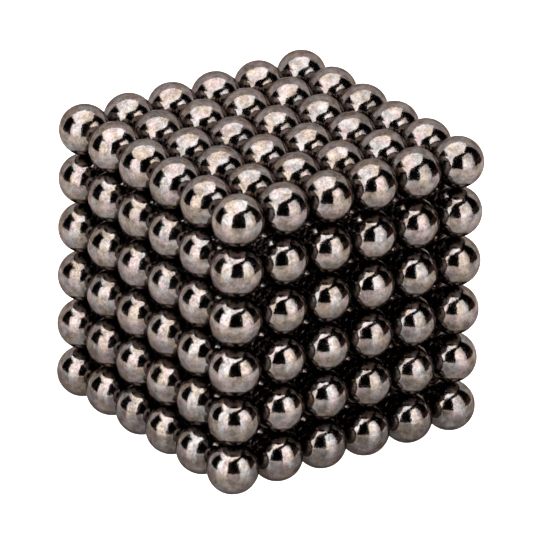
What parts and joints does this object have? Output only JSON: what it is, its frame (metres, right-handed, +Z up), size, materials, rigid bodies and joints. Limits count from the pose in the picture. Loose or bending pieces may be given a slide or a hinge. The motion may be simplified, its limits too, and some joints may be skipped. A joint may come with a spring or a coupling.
{
  "type": "magnetic ball desk sculpture",
  "caption": "Cube stacked from loose polished magnet balls, which unfolds into a flat sheet, curls at one end and peels ball by ball.",
  "frame": {"origin": "on the desk, under the middle of the closed cube", "axes": "+Z up from the desk; -Y is the front, the outer side of sheet 1; +X is to the right seen from the front"},
  "size_m": [0.0302, 0.0302, 0.0302],
  "materials": {
    "black_nickel": "polished black nickel plating, faintly clouded, with fine handling marks"
  },
  "bodies": {
    "sheet_3": {"sheet_3_column_1": "black_nickel", "sheet_3_column_2": "black_nickel", "sheet_3_column_3": "black_nickel", "sheet_3_column_4": "black_nickel", "sheet_3_column_5": "black_nickel", "sheet_3_column_6": "black_nickel"},
    "sheet_2_hinge_column": {"sheet_2_column_1": "black_nickel"},
    "sheet_2": {"sheet_2_column_2": "black_nickel", "sheet_2_column_3": "black_nickel", "sheet_2_column_4": "black_nickel", "sheet_2_column_5": "black_nickel", "sheet_2_column_6": "black_nickel"},
    "sheet_1_hinge_column": {"front_right_ball_2": "black_nickel", "front_right_ball_3": "black_nickel", "front_right_ball_4": "black_nickel", "front_right_ball_5": "black_nickel", "front_right_ball_6": "black_nickel"},
    "sheet_1": {"front_left_ball_6": "black_nickel", "sheet_1_column_2": "black_nickel", "sheet_1_column_3": "black_nickel", "sheet_1_column_4": "black_nickel", "sheet_1_column_5": "black_nickel"},
    "sheet_4_hinge_column": {"sheet_4_column_6": "black_nickel"},
    "sheet_4": {"sheet_4_column_1": "black_nickel", "sheet_4_column_2": "black_nickel", "sheet_4_column_3": "black_nickel", "sheet_4_column_4": "black_nickel", "sheet_4_column_5": "black_nickel"},
    "sheet_5_hinge_column": {"sheet_5_column_1": "black_nickel"},
    "sheet_5": {"sheet_5_column_2": "black_nickel", "sheet_5_column_3": "black_nickel", "sheet_5_column_4": "black_nickel", "sheet_5_column_5": "black_nickel", "sheet_5_column_6": "black_nickel"},
    "sheet_6_hinge_column": {"back_right_ball_2": "black_nickel", "back_right_ball_3": "black_nickel", "back_right_ball_4": "black_nickel", "back_right_ball_5": "black_nickel", "back_right_ball_6": "black_nickel"},
    "sheet_6": {"sheet_6_column_4": "black_nickel", "sheet_6_column_5": "black_nickel"},
    "curl_column_3": {"sheet_6_column_3": "black_nickel"},
    "curl_column_2": {"sheet_6_column_2": "black_nickel"},
    "curl_column_1": {"back_left_ball_2": "black_nickel", "back_left_ball_3": "black_nickel", "back_left_ball_4": "black_nickel", "back_left_ball_5": "black_nickel", "back_left_ball_6": "black_nickel"},
    "front_right_top_ball": {"front_right_ball_1": "black_nickel"},
    "back_left_top_ball": {"back_left_ball_1": "black_nickel"},
    "back_right_top_ball": {"back_right_ball_1": "black_nickel"},
    "peel_ball_1": {"front_left_ball_1": "black_nickel"},
    "peel_ball_2": {"front_left_ball_2": "black_nickel"},
    "peel_ball_3": {"front_left_ball_3": "black_nickel"},
    "peel_ball_4": {"front_left_ball_4": "black_nickel"},
    "peel_ball_5": {"front_left_ball_5": "black_nickel"}
  },
  "joints": [
    {"name": "fold_3_2", "type": "hinge", "parent": "sheet_3", "child": "sheet_2_hinge_column", "pos_m": [-0.0126, -0.00252, 0.0025], "axis": [0, 0, -1], "range_deg": [0, 90]},
    {"name": "fold_3_2_roll", "type": "hinge", "parent": "sheet_2_hinge_column", "child": "sheet_2", "pos_m": [-0.0126, -0.00756, 0.0025], "axis": [0, 0, -1], "range_deg": [0, 90]},
    {"name": "fold_2_1", "type": "hinge", "parent": "sheet_2", "child": "sheet_1_hinge_column", "pos_m": [0.0126, -0.00756, 0.0025], "axis": [0, 0, 1], "range_deg": [0, 90]},
    {"name": "fold_2_1_roll", "type": "hinge", "parent": "sheet_1_hinge_column", "child": "sheet_1", "pos_m": [0.0126, -0.0126, 0.0025], "axis": [0, 0, 1], "range_deg": [0, 90]},
    {"name": "fold_3_4", "type": "hinge", "parent": "sheet_3", "child": "sheet_4_hinge_column", "pos_m": [0.0126, -0.00252, 0.0025], "axis": [0, 0, -1], "range_deg": [0, 90]},
    {"name": "fold_3_4_roll", "type": "hinge", "parent": "sheet_4_hinge_column", "child": "sheet_4", "pos_m": [0.0126, 0.00252, 0.0025], "axis": [0, 0, -1], "range_deg": [0, 90]},
    {"name": "fold_4_5", "type": "hinge", "parent": "sheet_4", "child": "sheet_5_hinge_column", "pos_m": [-0.0126, 0.00252, 0.0025], "axis": [0, 0, 1], "range_deg": [0, 90]},
    {"name": "fold_4_5_roll", "type": "hinge", "parent": "sheet_5_hinge_column", "child": "sheet_5", "pos_m": [-0.0126, 0.00756, 0.0025], "axis": [0, 0, 1], "range_deg": [0, 90]},
    {"name": "fold_5_6", "type": "hinge", "parent": "sheet_5", "child": "sheet_6_hinge_column", "pos_m": [0.0126, 0.00756, 0.0025], "axis": [0, 0, -1], "range_deg": [0, 90]},
    {"name": "fold_5_6_roll", "type": "hinge", "parent": "sheet_6_hinge_column", "child": "sheet_6", "pos_m": [0.0126, 0.0126, 0.0025], "axis": [0, 0, -1], "range_deg": [0, 90]},
    {"name": "curl_3", "type": "hinge", "parent": "sheet_6", "child": "curl_column_3", "pos_m": [0.00252, 0.0126, 0.0025], "axis": [0, 0, -1], "range_deg": [0, 60], "stiffness_Nm_per_rad": 0.0048},
    {"name": "curl_2", "type": "hinge", "parent": "curl_column_3", "child": "curl_column_2", "pos_m": [-0.00252, 0.0126, 0.0025], "axis": [0, 0, -1], "range_deg": [0, 60], "stiffness_Nm_per_rad": 0.0048},
    {"name": "curl_1", "type": "hinge", "parent": "curl_column_2", "child": "curl_column_1", "pos_m": [-0.00756, 0.0126, 0.0025], "axis": [0, 0, -1], "range_deg": [0, 60], "stiffness_Nm_per_rad": 0.0048},
    {"name": "peel_5", "type": "hinge", "parent": "sheet_1", "child": "peel_ball_5", "pos_m": [-0.0126, -0.0126, 0.0025], "axis": [0.7071, -0.7071, 0], "range_deg": [0, 30], "stiffness_Nm_per_rad": 0.0008},
    {"name": "peel_4", "type": "hinge", "parent": "peel_ball_5", "child": "peel_ball_4", "pos_m": [-0.0126, -0.0126, 0.00754], "axis": [0.7071, -0.7071, 0], "range_deg": [0, 30], "stiffness_Nm_per_rad": 0.0008},
    {"name": "peel_3", "type": "hinge", "parent": "peel_ball_4", "child": "peel_ball_3", "pos_m": [-0.0126, -0.0126, 0.01258], "axis": [0.7071, -0.7071, 0], "range_deg": [0, 30], "stiffness_Nm_per_rad": 0.0008},
    {"name": "peel_2", "type": "hinge", "parent": "peel_ball_3", "child": "peel_ball_2", "pos_m": [-0.0126, -0.0126, 0.01762], "axis": [0.7071, -0.7071, 0], "range_deg": [0, 30], "stiffness_Nm_per_rad": 0.0008},
    {"name": "peel_1", "type": "hinge", "parent": "peel_ball_2", "child": "peel_ball_1", "pos_m": [-0.0126, -0.0126, 0.02266], "axis": [0.7071, -0.7071, 0], "range_deg": [0, 120], "stiffness_Nm_per_rad": 0.0008},
    {"name": "roll_front_right", "type": "hinge", "parent": "sheet_1_hinge_column", "child": "front_right_top_ball", "pos_m": [0.0126, -0.0126, 0.02266], "axis": [0, 1, 0], "range_deg": [0, 120], "stiffness_Nm_per_rad": 0.0008},
    {"name": "roll_back_left", "type": "hinge", "parent": "curl_column_1", "child": "back_left_top_ball", "pos_m": [-0.0126, 0.0126, 0.02266], "axis": [-1, 0, 0], "range_deg": [0, 120], "stiffness_Nm_per_rad": 0.0008},
    {"name": "roll_back_right", "type": "hinge", "parent": "sheet_6_hinge_column", "child": "back_right_top_ball", "pos_m": [0.0126, 0.0126, 0.02266], "axis": [0, 1, 0], "range_deg": [0, 120], "stiffness_Nm_per_rad": 0.0008}
  ],
  "couplings": [
    {"joint": "fold_3_2_roll", "follows": "fold_3_2", "ratio": 1},
    {"joint": "fold_2_1_roll", "follows": "fold_2_1", "ratio": 1},
    {"joint": "fold_3_4_roll", "follows": "fold_3_4", "ratio": 1},
    {"joint": "fold_4_5_roll", "follows": "fold_4_5", "ratio": 1},
    {"joint": "fold_5_6_roll", "follows": "fold_5_6", "ratio": 1}
  ]
}
